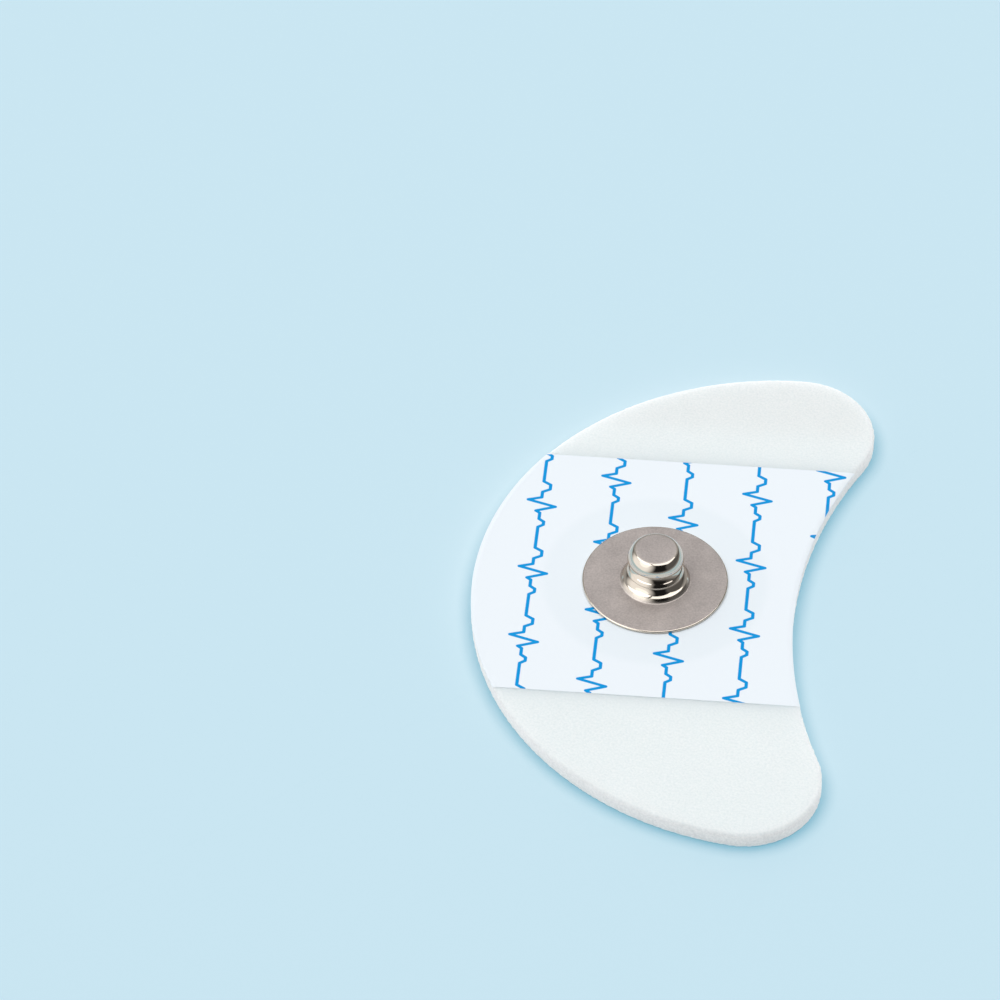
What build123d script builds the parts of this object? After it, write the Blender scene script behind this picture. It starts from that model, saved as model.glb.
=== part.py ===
from build123d import *
import os
from math import cos, radians, sin

# Snap electrode for ECG leads: a crescent foam pad with a film label on top, a pressed stud
# clenched through the film, and a sensor eyelet with its gel in the well underneath.
# Millimetres. The origin is on the stud's axis, in the plane of the skin side. +Z runs up the
# stud, +X points into the bay of the crescent, and Y runs from lobe to lobe.

# Foam pad
foam_thickness = 1.1
foam_edge_round = 0.25
outer_radius = 22.15
back_reach = 12.8
bay_radius = 33.8
bay_reach = 10.05
tip_radius = 5.42
pad_shift = -0.5
well_radius = 8.0

# Label film, a strip across the pad that also closes the well
film_thickness = 0.1
label_width = 22.9
label_shift = 0.4
label_skew = 3.8

# Grip tab, let into the skin side at one tip
tab_thickness = 0.1
tab_start = 15.5

# Rims of the stud's flange and of the eyelet's disc, which clamp the film between them
clamp_radius = 5.14

# Snap stud, drawn from one sheet
sheet_thickness = 0.2
flange_edge_break = 0.06
stud_height = 3.05
head_radius = 2.0
head_round = 0.66
head_length = 1.0
rim_round = 0.1
neck_depth = 0.2
neck_taper = 0.25
neck_round = 0.1
neck_length = 0.33
collar_depth = 0.23
collar_slope = 0.27
collar_edge = 0.15
collar_undercut = 0.1
foot_radius = 2.24
foot_height = 0.27
foot_rise = 0.06
foot_spread = 0.23
foot_flare = 0.43
foot_round = 0.05

# Sensor eyelet
disc_thickness = 0.8
disc_edge_chamfer = 0.1
dimple_radius = 0.9
dimple_depth = 0.45
post_clearance = 0.1
post_end_gap = 0.1
post_end_chamfer = 0.25
post_hole_clearance = 0.1

# Contact gel, a ring round the eyelet's disc
gel_depth = 0.35
gel_climb = 0.2
gel_edge_depth = 0.22
gel_wall_gap = 0.12

# Levels up the stack, and lines that pieces share
film_base = foam_thickness
flange_base = film_base + film_thickness
flange_top = flange_base + sheet_thickness
stud_top = flange_top + stud_height
disc_face = film_base - disc_thickness
neck_radius = head_radius - neck_depth
post_radius = neck_radius - sheet_thickness - post_clearance
post_top = stud_top - sheet_thickness - post_end_gap
gel_radius = well_radius - gel_wall_gap
label_across = (-sin(radians(label_skew)), cos(radians(label_skew)))
beyond_pad = 4 * outer_radius

# Crescent outline: a round pad with a larger circle taken out as the bay, both tips rounded
with BuildSketch() as crescent:
    with Locations((outer_radius - back_reach, pad_shift)):
        Circle(outer_radius)
    with Locations((bay_reach + bay_radius, pad_shift)):
        Circle(bay_radius, mode=Mode.SUBTRACT)
    fillet(crescent.vertices(), tip_radius)

# The end of the crescent past the tab's straight edge, which runs with the label's edges
with BuildSketch() as tab_outline:
    add(crescent.sketch)
    with Locations((tab_start * label_across[0], tab_start * label_across[1])):
        Rectangle(
            beyond_pad,
            beyond_pad,
            rotation=label_skew,
            align=(Align.CENTER, Align.MIN),
            mode=Mode.INTERSECT,
        )

# Die-cut foam with a soft upper edge, the well right through it, and a shallow seat for the tab
with BuildPart() as foam_pad:
    with BuildSketch():
        add(crescent.sketch)
    extrude(amount=foam_thickness)
    fillet(foam_pad.faces().sort_by(Axis.Z)[-1].edges(), foam_edge_round)
    with BuildSketch():
        Circle(well_radius)
    extrude(amount=foam_thickness, mode=Mode.SUBTRACT)
    with BuildSketch():
        add(tab_outline.sketch)
    extrude(amount=tab_thickness, mode=Mode.SUBTRACT)

# Film strip laid a little askew, cut with the pad's outline and pierced for the eyelet's post
with BuildPart() as label_film:
    with BuildSketch(Plane.XY.offset(film_base)):
        add(crescent.sketch)
        with Locations((label_shift * label_across[0], label_shift * label_across[1])):
            Rectangle(beyond_pad, label_width, rotation=label_skew, mode=Mode.INTERSECT)
        Circle(post_radius + post_hole_clearance, mode=Mode.SUBTRACT)
    extrude(amount=film_thickness)

# Thin tab over the adhesive, flush with the skin side, to lift the pad by
with BuildPart() as grip_tab:
    with BuildSketch():
        add(tab_outline.sketch)
    extrude(amount=tab_thickness)

# Drawn stud: corners of the sheet's outer line, from the head's middle to the flange's rim, and the
# rounds on all but the two ends. The neck runs down into a flare that ends in the foot's edge, and the
# foot's sloping side meets the flange in a crease.
head_base = stud_top - head_length
neck_top = head_base - neck_taper
foot_level = flange_top + foot_height
outer_line = (
    Vector(0, stud_top),
    Vector(head_radius, stud_top),
    Vector(head_radius, head_base),
    Vector(neck_radius, neck_top),
    Vector(neck_radius, foot_level + foot_rise),
    Vector(foot_radius, foot_level),
    Vector(foot_radius + foot_spread, flange_top),
    Vector(clamp_radius, flange_top),
)
outer_rounds = (head_round, rim_round, neck_round, foot_flare, foot_round, 0)

# Collar round the neck: a sloping top, a short upright edge and an undercut, rooted in the sheet
collar_top = neck_top - neck_length
collar_shoulder = collar_top - collar_slope
collar_base = collar_shoulder - collar_edge
collar_root = neck_radius - sheet_thickness / 2
collar_line = (
    (collar_root, collar_top),
    (neck_radius, collar_top),
    (neck_radius + collar_depth, collar_shoulder),
    (neck_radius + collar_depth, collar_base),
    (neck_radius, collar_base - collar_undercut),
    (collar_root, collar_base - collar_undercut),
)


def moved_inwards(line, inset):
    """The line's corners moved in by the inset, each along the inward normals of both its runs."""
    runs = [(end - start).normalized() for start, end in zip(line, line[1:])]
    normals = [Vector(run.Y, -run.X) for run in runs]
    corners = [line[0] + normals[0] * inset]
    for corner, before, after in zip(line[1:], normals, normals[1:]):
        corners.append(corner + (before + after) * (inset / (1 + before.dot(after))))
    corners.append(line[-1] + normals[-1] * inset)
    return corners


# The sheet between its two lines is turned round the axis together with the collar
inner_line = moved_inwards(outer_line, sheet_thickness)
with BuildPart() as snap_stud:
    with BuildSketch(Plane.XZ) as stud_section:
        with BuildLine():
            FilletPolyline(*outer_line, radius=outer_rounds)
            Polyline(*inner_line)
            Line(outer_line[0], inner_line[0])
            Line(outer_line[-1], inner_line[-1])
        make_face()
        chamfer(stud_section.vertices().group_by(Axis.X)[-1], flange_edge_break)
        with BuildLine():
            Polyline(*collar_line, close=True)
        make_face()
    revolve(axis=Axis.Z)

# Moulded eyelet: a disc with a dimple in its skin face and a post that fills the stud's neck
dimple_sphere = (dimple_radius**2 + dimple_depth**2) / (2 * dimple_depth)
with BuildPart() as sensor_eyelet:
    with BuildSketch(Plane.XY.offset(disc_face)):
        Circle(clamp_radius)
    extrude(amount=disc_thickness)
    chamfer(sensor_eyelet.edges().sort_by(Axis.Z)[0], disc_edge_chamfer)
    with BuildSketch(Plane.XY.offset(film_base)):
        Circle(post_radius)
    extrude(amount=post_top - film_base)
    chamfer(sensor_eyelet.edges().sort_by(Axis.Z)[-1], post_end_chamfer)
    with Locations((0, 0, disc_face + dimple_depth - dimple_sphere)):
        Sphere(dimple_sphere, mode=Mode.SUBTRACT)

# Gel lying on the film round the disc: it climbs the disc's wall and thins out at the well's wall
with BuildPart() as contact_gel:
    with BuildSketch(Plane.XZ):
        with BuildLine():
            Polyline(
                (clamp_radius, film_base - gel_depth - gel_climb),
                (clamp_radius, film_base),
                (gel_radius, film_base),
                (gel_radius, film_base - gel_edge_depth),
            )
            ThreePointArc(
                (gel_radius, film_base - gel_edge_depth),
                ((clamp_radius + gel_radius) / 2, film_base - gel_depth),
                (clamp_radius, film_base - gel_depth - gel_climb),
            )
        make_face()
    revolve(axis=Axis.Z)

os.makedirs("parts", exist_ok=True)

foam_pad.part.label = "foam_pad"
label_film.part.label = "label_film"
grip_tab.part.label = "grip_tab"
snap_stud.part.label = "snap_stud"
sensor_eyelet.part.label = "sensor_eyelet"
contact_gel.part.label = "contact_gel"

export_step(foam_pad.part, "parts/foam_pad.step")
export_step(label_film.part, "parts/label_film.step")
export_step(grip_tab.part, "parts/grip_tab.step")
export_step(snap_stud.part, "parts/snap_stud.step")
export_step(sensor_eyelet.part, "parts/sensor_eyelet.step")
export_step(contact_gel.part, "parts/contact_gel.step")
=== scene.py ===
from math import acos, atan2, cos, pi, radians, sin, tau

import bpy
import numpy as np
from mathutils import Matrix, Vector


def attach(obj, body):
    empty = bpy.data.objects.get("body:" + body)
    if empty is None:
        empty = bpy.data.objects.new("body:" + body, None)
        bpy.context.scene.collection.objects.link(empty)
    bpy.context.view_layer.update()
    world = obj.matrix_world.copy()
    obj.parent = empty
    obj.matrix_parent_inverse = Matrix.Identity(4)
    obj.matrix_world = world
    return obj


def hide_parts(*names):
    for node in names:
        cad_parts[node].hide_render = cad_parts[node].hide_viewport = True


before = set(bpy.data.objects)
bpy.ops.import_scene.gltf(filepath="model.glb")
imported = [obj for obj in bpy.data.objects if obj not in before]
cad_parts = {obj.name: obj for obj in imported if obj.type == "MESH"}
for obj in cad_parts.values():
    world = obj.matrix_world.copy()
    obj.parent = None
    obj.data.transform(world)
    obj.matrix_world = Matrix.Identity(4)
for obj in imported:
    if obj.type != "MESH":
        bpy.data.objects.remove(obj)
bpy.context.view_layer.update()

# Sizes in millimetres, the same as in the part's source
MM = 0.001
FOAM_THICKNESS = 1.1
PAD_SHIFT = -0.5
OUTER_RADIUS = 22.15
BACK_REACH = 12.8
OUTER_CENTRE = (OUTER_RADIUS - BACK_REACH, PAD_SHIFT)
BAY_RADIUS = 33.8
BAY_REACH = 10.05
BAY_CENTRE = (BAY_REACH + BAY_RADIUS, PAD_SHIFT)
TIP_RADIUS = 5.42
WELL_RADIUS = 8.0
FILM_THICKNESS = 0.1
LABEL_WIDTH = 22.9
LABEL_SHIFT = 0.4
LABEL_LOW = LABEL_SHIFT - LABEL_WIDTH / 2
LABEL_HIGH = LABEL_SHIFT + LABEL_WIDTH / 2
LABEL_SKEW = radians(3.8)
TAB_START = 15.5
TAB_THICKNESS = 0.1
CLAMP_RADIUS = 5.14
FLANGE_TOP = 1.4
STUD_TOP = 4.45
DISC_FACE = 0.3
DIMPLE_RADIUS = 0.9
DIMPLE_DEPTH = 0.45
POST_RADIUS = 1.5
POST_TOP = 4.15
HOLE_RADIUS = 1.6

# Soft forms of the dressed pad, in millimetres: the foam's upper edge, how far it stands up beside the film
# that is pressed into it, how far its top swells and its cut side is frayed, and the film's droop at the edge
EDGE_IN, EDGE_DOWN = 0.2, 0.24
FOAM_PROUD = 0.095
FOAM_SWELL = 0.012
FRAY = 0.018
DROOP, DROOP_WIDTH = 0.06, 0.35


# Surfaces

def mesh_piece(name, points, faces, crease=35, **attributes):
    """A closed mesh piece from millimetre points and its lists of quads and triangles, shaded smooth
    except across edges that turn by more than the crease angle; attributes hold one number a point."""
    mesh = bpy.data.meshes.new(name)
    mesh.from_pydata((points * MM).tolist(), [], [face for group in faces for face in group.tolist()])
    mesh.shade_smooth()
    mesh.set_sharp_from_angle(angle=radians(crease))
    for key, values in attributes.items():
        layer = mesh.attributes.new(key, "FLOAT", "POINT")
        layer.data.foreach_set("value", np.asarray(values, dtype=np.float32).ravel())
    piece = bpy.data.objects.new(name, mesh)
    bpy.context.scene.collection.objects.link(piece)
    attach(piece, "root")
    return piece


def ring_faces(around, rows):
    """Quads of a grid that closes on itself both ways, as a torus does: point (u, v) has the number
    u * rows + v, and each quad joins it to its neighbours at u + 1 and v + 1."""
    u, v = np.meshgrid(np.arange(around), np.arange(rows), indexing="ij")
    u_next, v_next = (u + 1) % around, (v + 1) % rows
    corners = (u * rows + v, u * rows + v_next, u_next * rows + v_next, u_next * rows + v)
    return np.stack(corners, axis=-1).reshape(-1, 4)


def turned(profile, segments):
    """Points and faces of a profile turned round the Z axis. The profile runs from a point on the axis
    to another one, as (radius, height): its inner points give a ring each, quads join one ring to the
    next, and a fan of triangles closes each end."""
    turn = np.arange(segments) * tau / segments
    radius, height = profile[1:-1, 0], profile[1:-1, 1]
    rings = np.stack(
        [
            radius[:, None] * np.cos(turn),
            radius[:, None] * np.sin(turn),
            np.repeat(height[:, None], segments, axis=1),
        ],
        axis=-1,
    )
    count = len(radius)
    poles = np.array([[0, 0, profile[0, 1]], [0, 0, profile[-1, 1]]])
    points = np.concatenate([rings.reshape(-1, 3), poles])
    ring, step = np.meshgrid(np.arange(count - 1), np.arange(segments), indexing="ij")
    after = (step + 1) % segments
    quads = np.stack(
        [
            ring * segments + step,
            (ring + 1) * segments + step,
            (ring + 1) * segments + after,
            ring * segments + after,
        ],
        axis=-1,
    ).reshape(-1, 4)
    step = np.arange(segments)
    after = (step + 1) % segments
    last = (count - 1) * segments
    start_fan = np.stack([np.full(segments, count * segments), step, after], axis=-1)
    end_fan = np.stack([np.full(segments, count * segments + 1), last + after, last + step], axis=-1)
    return points, (quads, start_fan, end_fan)


def on_circle(centre, radius, turn):
    """The points of a circle at the given angles."""
    return np.stack([centre[0] + radius * np.cos(turn), centre[1] + radius * np.sin(turn)], axis=-1)


def arc(centre, radius, start, stop, count):
    """Points along a circle from one angle towards another, whose own point starts the next run."""
    return on_circle(centre, radius, np.linspace(start, stop, count, endpoint=False))


def run(start, stop, count):
    """Points along a straight line, the last one left to the next run."""
    along = np.linspace(0, 1, count, endpoint=False)[:, None]
    return np.asarray(start) * (1 - along) + np.asarray(stop) * along


def rounded(corners, rounds, pitch=0.03):
    """A line through the corners with each inner corner turned into an arc of its own radius. The arc
    leaves both runs at radius / tan(half the corner's inner angle) from the corner and is sampled at
    the pitch; a radius of 0 keeps the corner."""
    corners = np.asarray(corners, dtype=float)
    pieces = [corners[:1]]
    for before, corner, after, radius in zip(corners, corners[1:], corners[2:], rounds):
        to_before = (before - corner) / np.linalg.norm(before - corner)
        to_after = (after - corner) / np.linalg.norm(after - corner)
        if radius == 0:
            pieces.append(corner[None])
            continue
        half = acos(np.clip(to_before @ to_after, -1, 1)) / 2
        bisector = (to_before + to_after) / np.linalg.norm(to_before + to_after)
        centre = corner + bisector * radius / sin(half)
        leave = corner + to_before * radius / np.tan(half)
        sweep = pi - 2 * half
        first = leave - centre
        side = np.sign(first[1] * to_before[0] - first[0] * to_before[1])
        turn = np.linspace(0, side * sweep, max(4, int(radius * sweep / pitch)))
        turned_first = np.stack(
            [
                first[0] * np.cos(turn) - first[1] * np.sin(turn),
                first[0] * np.sin(turn) + first[1] * np.cos(turn),
            ],
            axis=-1,
        )
        pieces.append(centre + turned_first)
    pieces.append(corners[-1:])
    return np.concatenate(pieces)


def soft_step(value, low, high):
    """0 below low, 1 above high, and a smooth S between them: 3t^2 - 2t^3."""
    t = np.clip((value - low) / (high - low), 0, 1)
    return t * t * (3 - 2 * t)


def swell(points, wavelengths, seed):
    """A gentle swell over the plane, from -1 to 1: the mean of plane waves with the given wavelengths,
    each in a random direction and phase."""
    chance = np.random.default_rng(seed)
    height = np.zeros(points.shape[:-1])
    for wavelength in wavelengths:
        heading, phase = chance.uniform(0, tau, 2)
        along = points[..., 0] * cos(heading) + points[..., 1] * sin(heading)
        height += np.sin(along * tau / wavelength + phase)
    return height / len(wavelengths)


def round_noise(count, waves, seed):
    """Noise round a closed line, from about -1 to 1: waves that each fit a whole number of times."""
    chance = np.random.default_rng(seed)
    place = np.arange(count)[:, None] * tau / count
    phase = chance.uniform(0, tau, len(waves))
    return np.sin(place * np.asarray(waves) + phase).sum(axis=1) / np.sqrt(len(waves))


# Crescent outline: a tip's arc touches the outer circle from inside and the bay's circle from outside, so
# its centre closes a triangle with theirs
SPAN = BAY_CENTRE[0] - OUTER_CENTRE[0]
TO_TIP = OUTER_RADIUS - TIP_RADIUS
BAY_TO_TIP = BAY_RADIUS + TIP_RADIUS
TIP_ANGLE = acos((TO_TIP**2 + SPAN**2 - BAY_TO_TIP**2) / (2 * TO_TIP * SPAN))
TIP_X = OUTER_CENTRE[0] + TO_TIP * cos(TIP_ANGLE)
TIP_Y = TO_TIP * sin(TIP_ANGLE)
BAY_ANGLE = atan2(TIP_Y, BAY_CENTRE[0] - TIP_X)
LABEL_NORMAL = LABEL_SKEW + pi / 2


def crescent_outline():
    """The pad's outline, anticlockwise from the upper tip, and its outward normals: outer arc, lower tip,
    bay and upper tip, each a circle's arc, sampled about every 0.16 mm."""
    low_tip = (TIP_X, PAD_SHIFT - TIP_Y)
    high_tip = (TIP_X, PAD_SHIFT + TIP_Y)
    outer = arc(OUTER_CENTRE, OUTER_RADIUS, TIP_ANGLE, tau - TIP_ANGLE, 400)
    low = arc(low_tip, TIP_RADIUS, tau - TIP_ANGLE, tau + BAY_ANGLE, 80)
    bay = arc(BAY_CENTRE, BAY_RADIUS, pi + BAY_ANGLE, pi - BAY_ANGLE, 180)
    high = arc(high_tip, TIP_RADIUS, -BAY_ANGLE, TIP_ANGLE, 80)
    normals = (
        (outer - OUTER_CENTRE) / OUTER_RADIUS,
        (low - low_tip) / TIP_RADIUS,
        (BAY_CENTRE - bay) / BAY_RADIUS,
        (high - high_tip) / TIP_RADIUS,
    )
    return np.concatenate([outer, low, bay, high]), np.concatenate(normals)


def across_label(points):
    """Distance across the label strip from the stud's axis, along the normal of its straight edges."""
    return points[..., 0] * cos(LABEL_NORMAL) + points[..., 1] * sin(LABEL_NORMAL)


def inside_label(points):
    """Distance in from the nearer of the label's straight edges, negative beyond them."""
    level = across_label(points)
    return np.minimum(level - LABEL_LOW, LABEL_HIGH - level)


def label_crossing(centre, radius, level):
    """The angle at which a circle crosses one of the label's straight edges, where the distance across
    the label is the level: the crossing on the left of the circle's middle."""
    centre_level = centre[0] * cos(LABEL_NORMAL) + centre[1] * sin(LABEL_NORMAL)
    return LABEL_NORMAL + acos((level - centre_level) / radius)


def label_outline():
    """The film's outline, anticlockwise from its upper left corner: outer arc, straight lower edge, bay
    and straight upper edge, with a point on each corner."""
    upper_left = label_crossing(OUTER_CENTRE, OUTER_RADIUS, LABEL_HIGH)
    lower_left = label_crossing(OUTER_CENTRE, OUTER_RADIUS, LABEL_LOW)
    lower_right = label_crossing(BAY_CENTRE, BAY_RADIUS, LABEL_LOW)
    upper_right = label_crossing(BAY_CENTRE, BAY_RADIUS, LABEL_HIGH)
    outer = arc(OUTER_CENTRE, OUTER_RADIUS, upper_left, lower_left, 150)
    bay = arc(BAY_CENTRE, BAY_RADIUS, lower_right, upper_right, 140)
    lower = run(on_circle(OUTER_CENTRE, OUTER_RADIUS, lower_left), bay[0], 130)
    upper = run(on_circle(BAY_CENTRE, BAY_RADIUS, upper_right), outer[0], 140)
    return np.concatenate([outer, lower, bay, upper])


def edge_distance(points):
    """Distance in from the crescent's two large arcs, whichever is nearer."""
    from_outer = OUTER_RADIUS - np.hypot(points[..., 0] - OUTER_CENTRE[0], points[..., 1] - OUTER_CENTRE[1])
    from_bay = np.hypot(points[..., 0] - BAY_CENTRE[0], points[..., 1] - BAY_CENTRE[1]) - BAY_RADIUS
    return np.minimum(from_outer, from_bay)


def film_droop(points):
    """How far the film and the foam under it are pressed down at the cut edge: a parabola that starts
    at the droop's width in from the edge and is as deep as the droop at it."""
    return DROOP * np.clip(1 - edge_distance(points) / DROOP_WIDTH, 0, 1) ** 2


def spread(outline, inner_radius, steps):
    """Points between a circle round the stud's axis and an outline: straight lines from each outline
    point to the circle's point at the same angle, at the given steps from 0, circle, to 1, outline."""
    angle = np.arctan2(outline[:, 1], outline[:, 0])
    inner = on_circle((0, 0), inner_radius, angle)
    steps = np.asarray(steps)[None, :, None]
    return inner[:, None] * (1 - steps) + outline[:, None] * steps


def set_in(outline, normal, inset):
    """Rows of points, each the outline moved in along its normals by one column of the inset."""
    return outline[:, None] - normal[:, None] * inset[..., None]


def raised(points, height):
    """Flat points lifted to a height, which may differ from point to point."""
    height = np.broadcast_to(height, points.shape[:-1])
    return np.concatenate([points, height[..., None]], axis=-1)


def foam_surface():
    """Die-cut foam as a closed ring: from the well's rim out over the top, down the soft edge and the cut
    side, back under the skin side and up the well's wall. The edge is a quarter of an ellipse, the cut
    side is uneven by a few hundredths of a millimetre, the top swells as gently and stands up round the
    film that is pressed into it, and the skin side lifts over the tab. With the points come two numbers
    each: how far a point is on the cut side, and how near to the film's straight edge."""
    outline, normal = crescent_outline()

    # The step down to the pressed foam is hidden under the film, half a millimetre in from its edges
    top = spread(outline - normal * EDGE_IN, WELL_RADIUS, 1 - np.linspace(1, 0, 50) ** 1.2)
    inside = inside_label(top)
    pressed = soft_step(inside, 0.4, 0.9)
    covered = soft_step(inside, -0.25, 0)
    swelling = FOAM_SWELL * swell(top, (5.2, 7.1, 9.3, 3.9, 4.4), 3) * soft_step(-inside, 0, 1.5)
    height = FOAM_THICKNESS + (1 - pressed) * (FOAM_PROUD + swelling) - covered * film_droop(top)
    top = raised(top, height)

    # Where the film holds the edge it is straighter, follows the film's droop and isn't frayed
    held = covered[:, -1:]
    straight = 0.35 * held
    upper_fray = FRAY * round_noise(len(outline), np.arange(60, 330, 11), 5)[:, None] * (1 - held)
    lower_fray = FRAY * round_noise(len(outline), np.arange(75, 350, 13), 8)[:, None]
    lean = np.linspace(0, pi / 2, 14)[None, 1:]
    inset = EDGE_IN * ((1 - np.sin(lean)) * (1 - straight) + (1 - lean / (pi / 2)) * straight)
    round_drop = EDGE_DOWN * (1 - np.cos(lean))
    film_drop = film_droop(set_in(outline, normal, inset))
    film_drop = np.maximum(film_drop - film_drop[:, :1], 0)
    edge_height = height[:, -1:] - round_drop * (1 - held) - film_drop * held
    soft_edge = raised(set_in(outline, normal, inset - upper_fray * np.sin(lean) + FRAY), edge_height)

    # The cut side tucks in by a quarter circle's curve over its lowest fifth
    drop = np.linspace(0, 1, 14)[None, 1:]
    tuck = 0.06 * (1 - np.sqrt(1 - np.clip((drop - 0.8) / 0.2, 0, 1) ** 2))
    side_fray = upper_fray * (1 - drop) + lower_fray * drop
    side = raised(set_in(outline, normal, tuck - side_fray + FRAY), edge_height[:, -1:] * (1 - drop))

    skin = spread(outline - normal * 0.14, WELL_RADIUS, np.linspace(1, 0, 34))
    lift = TAB_THICKNESS * soft_step(across_label(skin), TAB_START - 0.7, TAB_START - 0.05)
    side[..., 2] = np.maximum(side[..., 2], lift[:, :1])
    skin = raised(skin, lift)
    wall = np.linspace(0, FOAM_THICKNESS, 8)[1:-1]
    well = raised(np.repeat(spread(outline, WELL_RADIUS, [0]), len(wall), axis=1), wall)

    points = np.concatenate([top, soft_edge, side, skin, well], axis=1)
    cut_rows = (
        np.zeros(top.shape[1]),
        np.sin(lean[0]) ** 4,
        np.ones(side.shape[1]),
        np.zeros(skin.shape[1]),
        np.ones(len(wall)),
    )
    cut = np.broadcast_to(np.concatenate(cut_rows), points.shape[:2])
    # Painted shade: how near a point is to the film's straight edges, fading over about 0.75 mm outside them;
    # it greys the foam's colour there
    near_film = np.exp(np.minimum(inside_label(points), 0) / 0.75)
    return points.reshape(-1, 3), ring_faces(*points.shape[:2]), cut, near_film


def film_surface():
    """Film as a thin closed ring: from the post's hole out over the printed top to the cut edge and back
    underneath. It lies flat and follows the foam down at the pad's edge."""
    steps = np.concatenate([np.linspace(0, 0.93, 34), np.linspace(0.94, 1, 14)])
    top = spread(label_outline(), HOLE_RADIUS, steps)
    base = FOAM_THICKNESS - film_droop(top)
    upper = raised(top, base + FILM_THICKNESS)
    under = raised(top, base)[:, ::-1]
    points = np.concatenate([upper, under], axis=1)
    return points.reshape(-1, 3), ring_faces(*points.shape[:2])


def stud_profile():
    """The stud's half section, from the middle of the lid down to the flange's rim and back inside. The lid
    is crowned as a parabola and runs over into a shoulder of two arcs, a tight one down to a slope of 45
    degrees and a wide one from there to the almost upright rim. Under the rim the line runs in to the neck,
    which widens downwards as two cones with a narrow step between them and ends in a lip that is cut under.
    The waist flares out as an arc into the foot's edge, the foot's side slopes to the flat flange with a
    small round, and the inner line runs about one sheet's thickness inside."""
    lid_radius, crown = 1.37, 0.03
    tight_round, wide_round, flare_round = 0.38, 1.31, 0.86
    lean, middle, upright = radians(90 - 2.5), radians(45), radians(6)
    reach = np.linspace(0, lid_radius, 14)
    lid = np.stack([reach, STUD_TOP - crown * (reach / lid_radius) ** 2], axis=-1)
    tight = (lid_radius - tight_round * cos(lean), STUD_TOP - crown - tight_round * sin(lean))
    apart = wide_round - tight_round
    wide = (tight[0] - apart * cos(middle), tight[1] - apart * sin(middle))
    shoulder = np.concatenate(
        [arc(tight, tight_round, lean, middle, 16), arc(wide, wide_round, middle, upright, 32)]
    )
    neck = rounded(
        [
            shoulder[-1],
            (2.0, 3.46),
            (1.62, 3.08),
            (1.821, 2.75),
            (1.893, 2.707),
            (2.02, 2.51),
            (2.03, 2.45),
            (1.75, 2.36),
            (1.722, 2.16),
        ],
        (0.06, 0.05, 0.03, 0.03, 0.05, 0.02, 0.1),
        pitch=0.012,
    )
    flare = arc((2.512, 2.485), flare_round, pi + radians(24), pi + radians(70), 24)
    # The flange has two points more on its flat, which keep the shading of its ends off it
    foot = rounded(
        [
            (2.218, 1.677),
            (2.245, 1.672),
            (2.465, FLANGE_TOP),
            (2.65, FLANGE_TOP),
            (5.0, FLANGE_TOP),
            (CLAMP_RADIUS, FLANGE_TOP),
            (CLAMP_RADIUS, 1.2),
            (2.38, 1.2),
        ],
        (0.02, 0.13, 0, 0, 0.09, 0.08),
        pitch=0.02,
    )
    inside = rounded(
        [(2.38, 1.2), (2.14, 1.482), (1.56, 1.555), (1.56, 3.2), (1.78, 3.5), (1.66, 4.21), (0, 4.23)],
        (0.05, 0.1, 0.1, 0.1, 0.35),
    )
    return np.concatenate([lid[:-1], shoulder[:-1], neck, flare, foot, inside[1:]])


def eyelet_profile():
    """Moulded eyelet in section, from the top of the post down to the film, out under it, down the disc's
    wall and in over the skin face to the middle of the dimple, which is part of a ball."""
    ball = (DIMPLE_RADIUS**2 + DIMPLE_DEPTH**2) / (2 * DIMPLE_DEPTH)
    reach = np.linspace(0, DIMPLE_RADIUS - 0.03, 12)
    dimple = np.stack([reach, DISC_FACE + DIMPLE_DEPTH - ball + np.sqrt(ball**2 - reach**2)], axis=-1)
    rest = rounded(
        [
            dimple[-1],
            (DIMPLE_RADIUS + 0.05, DISC_FACE),
            (CLAMP_RADIUS, DISC_FACE),
            (CLAMP_RADIUS, FOAM_THICKNESS),
            (POST_RADIUS, FOAM_THICKNESS),
            (POST_RADIUS, POST_TOP),
            (0, POST_TOP),
        ],
        (0.1, 0.12, 0.03, 0.05, 0.25),
    )
    return np.concatenate([dimple[:-1], rest])[::-1]


def gel_surface():
    """Gel as a closed ring under the film: up the disc's wall a meniscus, then a shallow wavy face out to
    an uneven rim that stays short of the well's wall. The face's depth falls from the disc by a decaying
    exponential, and swells by a few hundredths of a millimetre."""
    around = 320
    angle = np.arange(around) * tau / around
    rim = WELL_RADIUS - 0.35 + 0.13 * round_noise(around, (2, 3, 5, 7, 11, 17, 23), 12)
    rim = np.minimum(rim, WELL_RADIUS - 0.13)
    steps = np.linspace(0, 1, 34)[None, :]
    radius = (CLAMP_RADIUS + 0.01) * (1 - steps) + rim[:, None] * steps
    flat = on_circle((0, 0), radius, angle[:, None])
    depth = 0.33 + 0.2 * np.exp(-(radius - CLAMP_RADIUS) / 0.25)
    depth = depth + 0.035 * swell(flat, (1.7, 2.3, 3.1, 1.2), 21)
    depth = depth * np.sqrt(np.clip(1 - steps**14, 0, 1)) + 0.01
    face = raised(flat, FOAM_THICKNESS - depth)
    back = raised(flat[:, ::-6], FOAM_THICKNESS - 0.002)
    points = np.concatenate([face, back], axis=1)
    return points.reshape(-1, 3), ring_faces(*points.shape[:2])[:, ::-1]


# Materials

def linear(code):
    """An sRGB hex code as linear red, green and blue with alpha 1."""
    parts = [int(code[place:place + 2], 16) / 255 for place in (1, 3, 5)]
    return (*(part / 12.92 if part <= 0.04045 else ((part + 0.055) / 1.055) ** 2.4 for part in parts), 1)


def add(tree, kind, inputs, **settings):
    """Adds one node with its settings; inputs gives a value or another node's output for each socket."""
    node = tree.nodes.new(kind)
    for key, value in settings.items():
        setattr(node, key, value)
    for key, value in inputs.items():
        if isinstance(value, bpy.types.NodeSocket):
            tree.links.new(value, node.inputs[key])
        else:
            node.inputs[key].default_value = value
    return node


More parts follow.
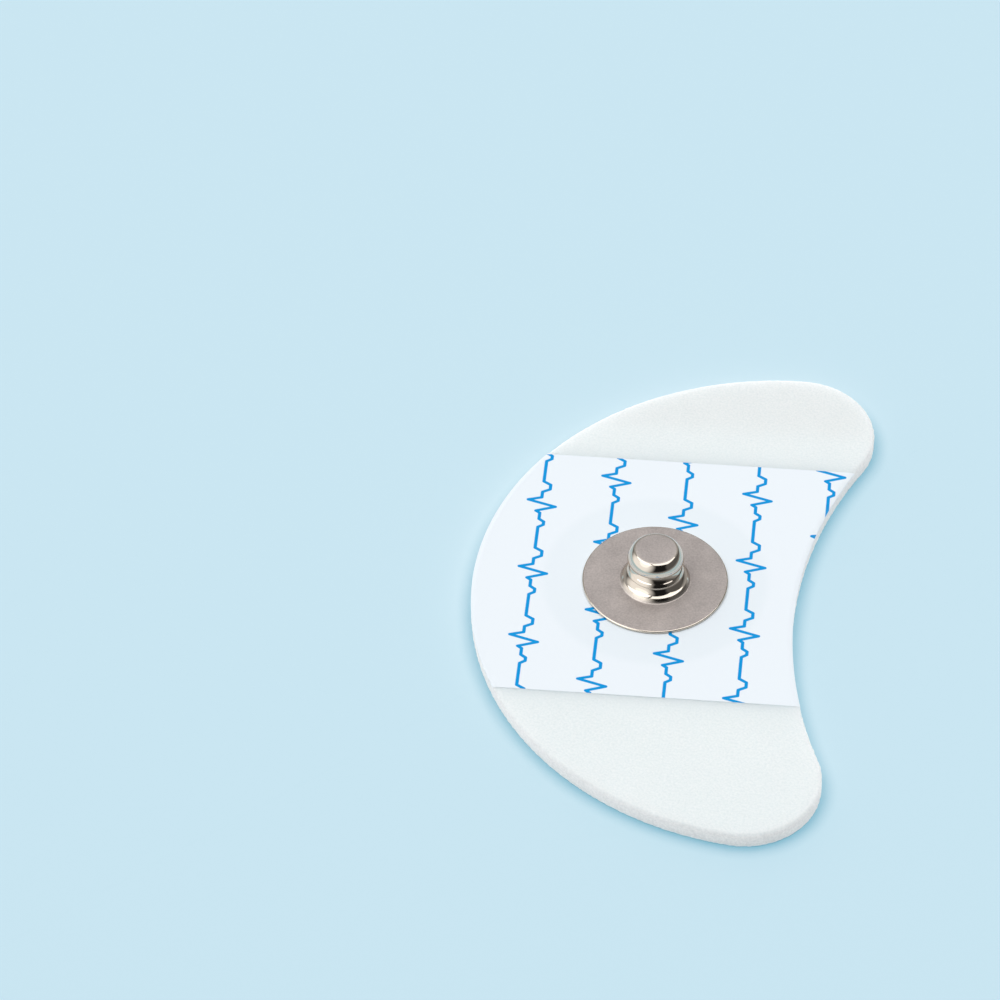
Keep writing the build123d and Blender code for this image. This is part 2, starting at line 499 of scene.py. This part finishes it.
def finish_named(name):
    """A new material with an empty tree, its shader and its output."""
    material = bpy.data.materials.new(name)
    material.use_nodes = True
    tree = material.node_tree
    tree.nodes.clear()
    shader = add(tree, "ShaderNodeBsdfPrincipled", {})
    add(tree, "ShaderNodeOutputMaterial", {"Surface": shader.outputs[0]})
    return material, tree, shader


def foam_finish():
    """Closed-cell polyethylene foam, skived and die-cut: matt white and translucent, so light spreads about
    a millimetre inside it and softens its edges, with a felt-like grain of cells about 0.2 mm wide. Painted
    shade colours it greyer beside the film's straight edges, and painted light colours its cut side a little
    lighter."""
    material, tree, shader = finish_named("white_polyethylene_foam")
    place = add(tree, "ShaderNodeTexCoord", {}).outputs["Object"]
    cut = add(tree, "ShaderNodeAttribute", {}, attribute_name="cut").outputs["Fac"]
    near_film = add(tree, "ShaderNodeAttribute", {}, attribute_name="near_film").outputs["Fac"]
    cells = add(
        tree,
        "ShaderNodeTexNoise",
        {"Vector": place, "Scale": 1 / (0.17 * MM), "Detail": 3.0, "Roughness": 0.6},
    ).outputs["Fac"]
    cloud = add(tree, "ShaderNodeTexNoise", {"Vector": place, "Scale": 1 / (6.0 * MM), "Detail": 2.0})
    blend = add(
        tree, "ShaderNodeMath", {0: cloud.outputs["Fac"], 1: 0.12, 2: cells}, operation="MULTIPLY_ADD"
    )
    tone = add(tree, "ShaderNodeMapRange", {"Value": blend.outputs[0], "From Min": 0.36, "From Max": 0.76})
    skin = add(
        tree,
        "ShaderNodeMix",
        {0: tone.outputs[0], 6: linear("#E4EBEC"), 7: linear("#F1F5F5")},
        data_type="RGBA",
    )
    # Painted shade: the foam's colour is greyer beside the film's straight edges
    skin_with_painted_shade = add(
        tree, "ShaderNodeMix", {0: near_film, 6: skin.outputs[2], 7: linear("#DFE6E8")}, data_type="RGBA"
    )
    # Painted light: the cut side is coloured a little lighter than the top, standing in for the light on it
    cut_side_painted_light = add(
        tree,
        "ShaderNodeMix",
        {0: tone.outputs[0], 6: linear("#E8EAE9"), 7: linear("#FBFCFA")},
        data_type="RGBA",
    )
    colour = add(
        tree, "ShaderNodeMix", {0: cut, 6: skin_with_painted_shade.outputs[2], 7: cut_side_painted_light.outputs[2]}, data_type="RGBA"
    )
    bump = add(tree, "ShaderNodeBump", {"Height": cells, "Strength": 1.0, "Distance": 0.03 * MM})
    tree.links.new(colour.outputs[2], shader.inputs["Base Color"])
    tree.links.new(bump.outputs[0], shader.inputs["Normal"])
    shader.inputs["Roughness"].default_value = 0.9
    shader.inputs["Specular IOR Level"].default_value = 0.2
    shader.inputs["Subsurface Weight"].default_value = 1.0
    shader.inputs["Subsurface Radius"].default_value = (1.0, 1.0, 1.0)
    shader.inputs["Subsurface Scale"].default_value = 1.2 * MM
    return material


# One printed pulse trace along a row, in millimetres: a small wave, a sharp spike and a rounder wave
PULSE = (
    (0, 0), (0.7, 0), (0.95, 0.36), (1.25, 0.36), (1.5, 0),
    (2.1, 0), (2.3, -0.3), (2.8, 1.05), (3.35, -0.95), (3.65, 0),
    (4.2, 0), (4.5, 0.52), (4.95, 0.52), (5.25, 0), (6.6, 0),
)
PULSE_REPEAT = PULSE[-1][0]
STROKE = 0.245
STROKE_BLUR = 0.025
ROW_PITCH = 5.1
ROW_START = -3.63
ROW_STAGGER = 3.7
ROW_SKEW = radians(3.0)
BARE_MARGIN = -11.6


def pulse_distance(tree, spot):
    """Distance from a spot to the nearest stroke of the pulse trace. A stroke's nearest point is where the
    spot falls square on it, or the end that is passed, and the least of all strokes counts."""
    nearest = None
    for start, stop in zip(PULSE, PULSE[1:]):
        step = (stop[0] - start[0], stop[1] - start[1], 0)
        share = 1 / (step[0] ** 2 + step[1] ** 2)
        scaled_step = (step[0] * share, step[1] * share, 0)
        from_start = add(
            tree, "ShaderNodeVectorMath", {0: spot, 1: (*start, 0)}, operation="SUBTRACT"
        ).outputs[0]
        passed = add(tree, "ShaderNodeVectorMath", {0: from_start, 1: scaled_step}, operation="DOT_PRODUCT")
        passed = add(
            tree, "ShaderNodeMath", {0: passed.outputs["Value"], 1: 0.0}, operation="ADD", use_clamp=True
        )
        foot = add(tree, "ShaderNodeVectorMath", {0: step, "Scale": passed.outputs[0]}, operation="SCALE")
        gap = add(
            tree, "ShaderNodeVectorMath", {0: from_start, 1: foot.outputs[0]}, operation="DISTANCE"
        ).outputs["Value"]
        if nearest is None:
            nearest = gap
        else:
            nearest = add(tree, "ShaderNodeMath", {0: nearest, 1: gap}, operation="MINIMUM").outputs[0]
    return nearest


def film_finish():
    """White polyester film, satin from its coating and faintly bluish, uneven by a few thousandths of a
    millimetre, printed with rows of thin blue pulse traces. It lets a little light through, and a painted
    shade colours it a shade darker over the open well."""
    material, tree, shader = finish_named("printed_white_polyester_film")
    coordinates = add(tree, "ShaderNodeTexCoord", {})
    place = coordinates.outputs["Object"]
    flat = add(tree, "ShaderNodeVectorMath", {0: place, 1: (1, 1, 0)}, operation="MULTIPLY")
    reach = add(tree, "ShaderNodeVectorMath", {0: flat.outputs[0]}, operation="LENGTH")
    # Painted shade: the film is coloured a shade darker over the open well, fading across its rim
    outside_well_shade = add(
        tree,
        "ShaderNodeMapRange",
        {
            "Value": reach.outputs["Value"],
            "From Min": (WELL_RADIUS - 0.5) * MM,
            "From Max": (WELL_RADIUS + 0.4) * MM,
        },
        interpolation_type="SMOOTHSTEP",
    )
    bare = add(
        tree,
        "ShaderNodeMix",
        {0: outside_well_shade.outputs[0], 6: linear("#ECF4FA"), 7: linear("#F0F7FD")},
        data_type="RGBA",
    )

    # Each row is one pitch on from the last, and its trace starts one stagger further along
    rows = add(
        tree,
        "ShaderNodeMapping",
        {"Vector": place, "Rotation": (0, 0, -ROW_SKEW), "Scale": (1 / MM, 1 / MM, 1 / MM)},
    )
    parts = add(tree, "ShaderNodeSeparateXYZ", {0: rows.outputs[0]})
    shifted = add(tree, "ShaderNodeMath", {0: parts.outputs["X"], 1: ROW_START}, operation="SUBTRACT")
    across = add(
        tree,
        "ShaderNodeMath",
        {0: shifted.outputs[0], 1: ROW_PITCH / 2, 2: -ROW_PITCH / 2},
        operation="WRAP",
    )
    row_level = add(
        tree, "ShaderNodeMath", {0: shifted.outputs[0], 1: across.outputs[0]}, operation="SUBTRACT"
    )
    along = add(
        tree,
        "ShaderNodeMath",
        {0: row_level.outputs[0], 1: ROW_STAGGER / ROW_PITCH, 2: parts.outputs["Y"]},
        operation="MULTIPLY_ADD",
    )
    along = add(tree, "ShaderNodeMath", {0: along.outputs[0], 1: PULSE_REPEAT, 2: 0.0}, operation="WRAP")
    spot = add(tree, "ShaderNodeCombineXYZ", {"X": along.outputs[0], "Y": across.outputs[0]})
    trace = add(
        tree,
        "ShaderNodeMapRange",
        {
            "Value": pulse_distance(tree, spot.outputs[0]),
            "From Min": STROKE / 2 + STROKE_BLUR,
            "From Max": STROKE / 2 - STROKE_BLUR,
        },
        interpolation_type="SMOOTHSTEP",
    )

    # Only the upper face is printed, up to a bare margin along the pad's back
    facing = add(tree, "ShaderNodeSeparateXYZ", {0: coordinates.outputs["Normal"]})
    upper = add(
        tree,
        "ShaderNodeMath",
        {0: trace.outputs[0], 1: facing.outputs["Z"]},
        operation="MULTIPLY",
        use_clamp=True,
    )
    margin = add(tree, "ShaderNodeMath", {0: parts.outputs["X"], 1: BARE_MARGIN}, operation="GREATER_THAN")
    ink = add(tree, "ShaderNodeMath", {0: upper.outputs[0], 1: margin.outputs[0]}, operation="MULTIPLY")
    colour = add(
        tree,
        "ShaderNodeMix",
        {0: ink.outputs[0], 6: bare.outputs[2], 7: linear("#0098E0")},
        data_type="RGBA",
    )
    peel = add(tree, "ShaderNodeTexNoise", {"Vector": place, "Scale": 1 / (1.4 * MM), "Detail": 2.0})
    bump = add(
        tree, "ShaderNodeBump", {"Height": peel.outputs["Fac"], "Strength": 1.0, "Distance": 0.008 * MM}
    )
    tree.links.new(colour.outputs[2], shader.inputs["Base Color"])
    tree.links.new(bump.outputs[0], shader.inputs["Normal"])
    shader.inputs["Roughness"].default_value = 0.42
    shader.inputs["Specular IOR Level"].default_value = 0.08
    return material


def nickel_finish():
    """Nickel plate on pressed brass: a warm grey mirror round the head and neck, where the die polished it,
    and along the flange's rim, and a satin grey on the flat top and flange, which the sheet had before it
    was drawn, with smears a millimetre or two wide and a grain of about 0.1 mm."""
    material, tree, shader = finish_named("nickel_plate")
    place = add(tree, "ShaderNodeTexCoord", {}).outputs["Object"]
    parts = add(tree, "ShaderNodeSeparateXYZ", {0: place})
    flat = add(tree, "ShaderNodeVectorMath", {0: place, 1: (1, 1, 0)}, operation="MULTIPLY")
    reach = add(tree, "ShaderNodeVectorMath", {0: flat.outputs[0]}, operation="LENGTH").outputs["Value"]
    past_foot = add(
        tree, "ShaderNodeMapRange", {"Value": reach, "From Min": 2.28 * MM, "From Max": 2.55 * MM}
    )
    within_rim = add(
        tree,
        "ShaderNodeMapRange",
        {
            "Value": reach,
            "From Min": (CLAMP_RADIUS - 0.06) * MM,
            "From Max": (CLAMP_RADIUS - 0.12) * MM,
        },
    )
    flange = add(
        tree, "ShaderNodeMath", {0: past_foot.outputs[0], 1: within_rim.outputs[0]}, operation="MULTIPLY"
    )
    lid = add(
        tree,
        "ShaderNodeMapRange",
        {
            "Value": parts.outputs["Z"],
            "From Min": (STUD_TOP - 0.055) * MM,
            "From Max": (STUD_TOP - 0.025) * MM,
        },
    )
    satin = add(tree, "ShaderNodeMath", {0: flange.outputs[0], 1: lid.outputs[0]}, operation="MAXIMUM")
    smear = add(tree, "ShaderNodeTexNoise", {"Vector": place, "Scale": 1 / (1.6 * MM), "Detail": 4.0})
    rough = add(
        tree,
        "ShaderNodeMapRange",
        {"Value": smear.outputs["Fac"], "From Min": 0.3, "From Max": 0.7, "To Min": 0.58, "To Max": 0.66},
    )
    rough = add(
        tree, "ShaderNodeMix", {0: satin.outputs[0], 2: 0.06, 3: rough.outputs[0]}, data_type="FLOAT"
    )
    grain = add(tree, "ShaderNodeTexNoise", {"Vector": place, "Scale": 1 / (0.13 * MM), "Detail": 2.0})
    blend = add(
        tree, "ShaderNodeMath", {0: smear.outputs["Fac"], 1: grain.outputs["Fac"]}, operation="ADD"
    )
    tone = add(tree, "ShaderNodeMapRange", {"Value": blend.outputs[0], "From Min": 0.6, "From Max": 1.4})
    dull = add(
        tree,
        "ShaderNodeMix",
        {0: tone.outputs[0], 6: linear("#AEA6A3"), 7: linear("#D0C8C4")},
        data_type="RGBA",
    )
    tint = add(
        tree,
        "ShaderNodeMix",
        {0: satin.outputs[0], 6: linear("#D6CCBF"), 7: dull.outputs[2]},
        data_type="RGBA",
    )
    tree.links.new(tint.outputs[2], shader.inputs["Base Color"])
    tree.links.new(rough.outputs[0], shader.inputs["Roughness"])
    shader.inputs["Metallic"].default_value = 1.0
    return material


def carbon_finish():
    """Carbon-filled moulding plastic: matt charcoal with the fine grain of an eroded mould, about 0.1 mm,
    drawn at 0.16 mm so that it shows."""
    material, tree, shader = finish_named("carbon_filled_plastic")
    place = add(tree, "ShaderNodeTexCoord", {}).outputs["Object"]
    grain = add(
        tree,
        "ShaderNodeTexNoise",
        {"Vector": place, "Scale": 1 / (0.16 * MM), "Detail": 3.0, "Roughness": 0.7},
    ).outputs["Fac"]
    cloud = add(tree, "ShaderNodeTexNoise", {"Vector": place, "Scale": 1 / (2.5 * MM), "Detail": 2.0})
    shade = add(tree, "ShaderNodeMath", {0: grain, 1: cloud.outputs["Fac"]}, operation="MULTIPLY")
    tone = add(tree, "ShaderNodeMapRange", {"Value": shade.outputs[0], "From Min": 0.12, "From Max": 0.4})
    colour = add(
        tree,
        "ShaderNodeMix",
        {0: tone.outputs[0], 6: linear("#333538"), 7: linear("#4A4C50")},
        data_type="RGBA",
    )
    bump = add(tree, "ShaderNodeBump", {"Height": grain, "Strength": 1.0, "Distance": 0.012 * MM})
    tree.links.new(colour.outputs[2], shader.inputs["Base Color"])
    tree.links.new(bump.outputs[0], shader.inputs["Normal"])
    shader.inputs["Roughness"].default_value = 0.62
    return material


def gel_finish():
    """Wet hydrogel, mostly water: clear with a faint milky cast and a glossy skin that ripples every
    millimetre or so."""
    material, tree, shader = finish_named("clear_hydrogel")
    place = add(tree, "ShaderNodeTexCoord", {}).outputs["Object"]
    ripple = add(tree, "ShaderNodeTexNoise", {"Vector": place, "Scale": 1 / (0.9 * MM), "Detail": 2.0})
    milk = add(tree, "ShaderNodeTexNoise", {"Vector": place, "Scale": 1 / (2.4 * MM), "Detail": 3.0})
    colour = add(
        tree,
        "ShaderNodeMix",
        {0: milk.outputs["Fac"], 6: linear("#E4EBEF"), 7: linear("#F6F9FA")},
        data_type="RGBA",
    )
    bump = add(
        tree, "ShaderNodeBump", {"Height": ripple.outputs["Fac"], "Strength": 1.0, "Distance": 0.05 * MM}
    )
    tree.links.new(colour.outputs[2], shader.inputs["Base Color"])
    tree.links.new(bump.outputs[0], shader.inputs["Normal"])
    shader.inputs["Roughness"].default_value = 0.06
    shader.inputs["IOR"].default_value = 1.36
    shader.inputs["Transmission Weight"].default_value = 0.75
    return material


def paper_finish():
    """Coated white paper: smooth and nearly matt, with a trace of fibre, drawn about 0.5 mm long and 0.16 mm
    wide so that it shows."""
    material, tree, shader = finish_named("white_coated_paper")
    place = add(tree, "ShaderNodeTexCoord", {}).outputs["Object"]
    lay = add(
        tree,
        "ShaderNodeMapping",
        {"Vector": place, "Scale": (1 / (0.5 * MM), 1 / (0.16 * MM), 1 / (0.5 * MM))},
    )
    fibre = add(tree, "ShaderNodeTexNoise", {"Vector": lay.outputs[0], "Scale": 1.0, "Detail": 3.0})
    colour = add(
        tree,
        "ShaderNodeMix",
        {0: fibre.outputs["Fac"], 6: linear("#ECEFF0"), 7: linear("#F7F9F9")},
        data_type="RGBA",
    )
    bump = add(
        tree, "ShaderNodeBump", {"Height": fibre.outputs["Fac"], "Strength": 1.0, "Distance": 0.006 * MM}
    )
    tree.links.new(colour.outputs[2], shader.inputs["Base Color"])
    tree.links.new(bump.outputs[0], shader.inputs["Normal"])
    shader.inputs["Roughness"].default_value = 0.55
    return material


# Pieces

points, quads, cut, near_film = foam_surface()
foam = mesh_piece("die_cut_foam", points, (quads,), crease=60, cut=cut, near_film=near_film)
foam.data.materials.append(foam_finish())
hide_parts("foam_pad")

points, quads = film_surface()
film = mesh_piece("printed_film", points, (quads,))
film.data.materials.append(film_finish())
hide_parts("label_film")
# Thin white film lets daylight through into the foam under it
film.visible_shadow = False

stud = mesh_piece("pressed_stud", *turned(stud_profile(), 192), crease=40)
stud.data.materials.append(nickel_finish())
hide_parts("snap_stud")

eyelet = mesh_piece("moulded_eyelet", *turned(eyelet_profile(), 128), crease=40)
eyelet.data.materials.append(carbon_finish())
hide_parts("sensor_eyelet")

points, quads = gel_surface()
gel = mesh_piece("gel_ring", points, (quads,), crease=60)
gel.data.materials.append(gel_finish())
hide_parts("contact_gel")

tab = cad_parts["grip_tab"]
tab.data.materials.clear()
tab.data.materials.append(paper_finish())


# Studio: camera, pale floor, two soft boxes overhead and a soft surround. Its sizes are in metres.

# The camera looks along AWAY, down by the elevation, at a point on the floor near the pad
ELEVATION = radians(45.83)
DISTANCE = 0.398
AIM = Vector((-0.01220, 0.00731, 0))
UP = Vector((0, 0, 1))
AWAY = Vector((-0.153, 0.988, 0)).normalized()
RIGHT = AWAY.cross(UP)
sight = AWAY * cos(ELEVATION) - UP * sin(ELEVATION)
lens = bpy.data.cameras.new("camera")
lens.lens = 199.5
lens.sensor_width = 36
lens.clip_start = 0.01
camera = bpy.data.objects.new("camera", lens)
bpy.context.scene.collection.objects.link(camera)
camera.location = AIM - sight * DISTANCE
camera.rotation_euler = sight.to_track_quat("-Z", "Y").to_euler()
bpy.context.scene.camera = camera


def floor_finish():
    """Matt pale blue paper. To the pad it is a nearly white sheet that throws light back with a little glow.
    What is seen of it takes on blue in the shade: it is part plain paint that takes the shadow and part an
    even glow that is the same everywhere, and both add up to the paint's own colour. A painted contact
    shadow makes it darker within about a millimetre of what stands on it. Looked at from below, it is clear
    and lets light up to the skin side."""
    material, tree, shader = finish_named("pale_blue_studio_paper")
    shader.inputs["Base Color"].default_value = linear("#F0F6FA")
    shader.inputs["Emission Color"].default_value = linear("#F0F6FA")
    shader.inputs["Emission Strength"].default_value = 0.25
    shader.inputs["Roughness"].default_value = 0.9
    shader.inputs["Specular IOR Level"].default_value = 0.0

    red, green, blue, alpha = linear("#CAE6F2")
    paint = (red, green * 0.64, blue * 0.52, alpha)
    even_glow_colour = (0, green * 0.36, blue * 0.48, alpha)
    # Painted contact shadow: ambient occlusion darkens the paint within 1.2 mm of what stands on the floor
    painted_contact_shadow = add(tree, "ShaderNodeAmbientOcclusion", {"Color": paint, "Distance": 1.2 * MM}, samples=8)
    shade = add(tree, "ShaderNodeMix", {0: 0.65, 6: paint, 7: painted_contact_shadow.outputs["Color"]}, data_type="RGBA")
    shaded = add(tree, "ShaderNodeBsdfDiffuse", {"Color": shade.outputs[2]})
    glow = add(tree, "ShaderNodeEmission", {"Color": even_glow_colour, "Strength": 1.0})
    seen = add(tree, "ShaderNodeAddShader", {0: shaded.outputs[0], 1: glow.outputs[0]})

    ray = add(tree, "ShaderNodeLightPath", {})
    looked_at = add(
        tree,
        "ShaderNodeMath",
        {0: ray.outputs["Is Camera Ray"], 1: ray.outputs["Is Glossy Ray"]},
        operation="MAXIMUM",
    )
    side = add(tree, "ShaderNodeNewGeometry", {})
    from_below = add(
        tree,
        "ShaderNodeMath",
        {0: ray.outputs["Transparent Depth"], 1: side.outputs["Backfacing"]},
        operation="ADD",
        use_clamp=True,
    )
    clear = add(tree, "ShaderNodeBsdfTransparent", {})
    paper = add(
        tree, "ShaderNodeMixShader", {0: looked_at.outputs[0], 1: shader.outputs[0], 2: seen.outputs[0]}
    )
    mixed = add(
        tree, "ShaderNodeMixShader", {0: from_below.outputs[0], 1: paper.outputs[0], 2: clear.outputs[0]}
    )
    tree.links.new(mixed.outputs[0], tree.nodes["Material Output"].inputs["Surface"])
    return material


# The floor lies a hair under the skin side, so that the two don't share a plane
FLOOR_REACH, FLOOR_LEVEL = 3, -2e-5
floor_corners = [
    (-FLOOR_REACH, -FLOOR_REACH, FLOOR_LEVEL),
    (FLOOR_REACH, -FLOOR_REACH, FLOOR_LEVEL),
    (FLOOR_REACH, FLOOR_REACH, FLOOR_LEVEL),
    (-FLOOR_REACH, FLOOR_REACH, FLOOR_LEVEL),
]
floor_mesh = bpy.data.meshes.new("studio_floor")
floor_mesh.from_pydata(floor_corners, [], [(0, 1, 2, 3)])
floor_mesh.materials.append(floor_finish())
floor = bpy.data.objects.new("studio_floor", floor_mesh)
bpy.context.scene.collection.objects.link(floor)

# Soft boxes: the middle's place to the right and towards the camera, width and depth
BOX_HEIGHT = 0.55
BOX_LEVEL = 1.6
for name, to_right, nearer, width, depth in (
    ("left_soft_box", -0.2825, -0.025, 0.375, 0.55),
    ("right_soft_box", 0.1975, -0.05, 0.505, 0.5),
):
    lamp = bpy.data.lights.new(name, "AREA")
    lamp.shape = "RECTANGLE"
    lamp.size = width
    lamp.size_y = depth
    lamp.energy = BOX_LEVEL * pi * width * depth
    soft_box = bpy.data.objects.new(name, lamp)
    bpy.context.scene.collection.objects.link(soft_box)
    soft_box.location = RIGHT * to_right - AWAY * nearer + UP * BOX_HEIGHT
    soft_box.rotation_euler = (0, 0, atan2(RIGHT.y, RIGHT.x))

# What the metal mirrors, in degrees round from the camera's side, to the right, and up from the horizon, with
# its brightness and the cosines at which it starts and is full: a broad pale screen behind the object, a wide
# and a small white panel at the left and a dull one at the right
PANELS = (
    (180, 45, 0.45, 0.5, 0.85),
    (-70, 24, 1.25, 0.45, 0.9),
    (-58, 42, 1.6, 0.88, 0.95),
    (82, 14, 0.12, 0.68, 0.86),
)


def light_studio(world):
    """Lights the world as a studio. Glossy rays see a dim room, lighter at the horizon, with the panels in
    it. Other rays see a soft gradient, dark on the near right and white on the far left. Below the floor it
    is bright for all."""
    world.use_nodes = True
    tree = world.node_tree
    tree.nodes.clear()
    direction = add(tree, "ShaderNodeTexCoord", {}).outputs["Generated"]
    height = add(tree, "ShaderNodeSeparateXYZ", {0: direction}).outputs["Z"]
    mirrored = add(
        tree,
        "ShaderNodeMapRange",
        {"Value": height, "From Min": 0.0, "From Max": 0.24, "To Min": 0.4, "To Max": 0.015},
        interpolation_type="SMOOTHSTEP",
    )
    for turn, lift, brightness, start, full in PANELS:
        level_way = RIGHT * sin(radians(turn)) - AWAY * cos(radians(turn))
        panel = level_way * cos(radians(lift)) + UP * sin(radians(lift))
        toward = add(
            tree, "ShaderNodeVectorMath", {0: direction, 1: tuple(panel)}, operation="DOT_PRODUCT"
        )
        level = add(
            tree,
            "ShaderNodeMapRange",
            {
                "Value": toward.outputs["Value"],
                "From Min": start,
                "From Max": full,
                "To Min": 0.0,
                "To Max": brightness,
            },
            interpolation_type="SMOOTHSTEP",
        )
        mirrored = add(
            tree, "ShaderNodeMath", {0: mirrored.outputs[0], 1: level.outputs[0]}, operation="MAXIMUM"
        )

    far_left = AWAY * cos(radians(20)) - RIGHT * sin(radians(20))
    toward = add(tree, "ShaderNodeVectorMath", {0: direction, 1: tuple(far_left)}, operation="DOT_PRODUCT")
    soft = add(
        tree,
        "ShaderNodeMapRange",
        {
            "Value": toward.outputs["Value"],
            "From Min": -1.0,
            "From Max": 1.0,
            "To Min": 0.0,
            "To Max": 1.05,
        },
    )
    ray = add(tree, "ShaderNodeLightPath", {})
    level = add(
        tree,
        "ShaderNodeMix",
        {0: ray.outputs["Is Glossy Ray"], 2: soft.outputs[0], 3: mirrored.outputs[0]},
        data_type="FLOAT",
    )
    below = add(tree, "ShaderNodeMapRange", {"Value": height, "From Min": 0.0, "From Max": -0.05})
    level = add(tree, "ShaderNodeMix", {0: below.outputs[0], 2: level.outputs[0], 3: 0.95}, data_type="FLOAT")
    surround = add(tree, "ShaderNodeBackground", {"Color": (1, 1, 1, 1), "Strength": level.outputs[0]})
    add(tree, "ShaderNodeOutputWorld", {"Surface": surround.outputs[0]})


bpy.context.scene.world = bpy.data.worlds.new("studio")
light_studio(bpy.context.scene.world)

bpy.context.scene.view_settings.view_transform = "Standard"
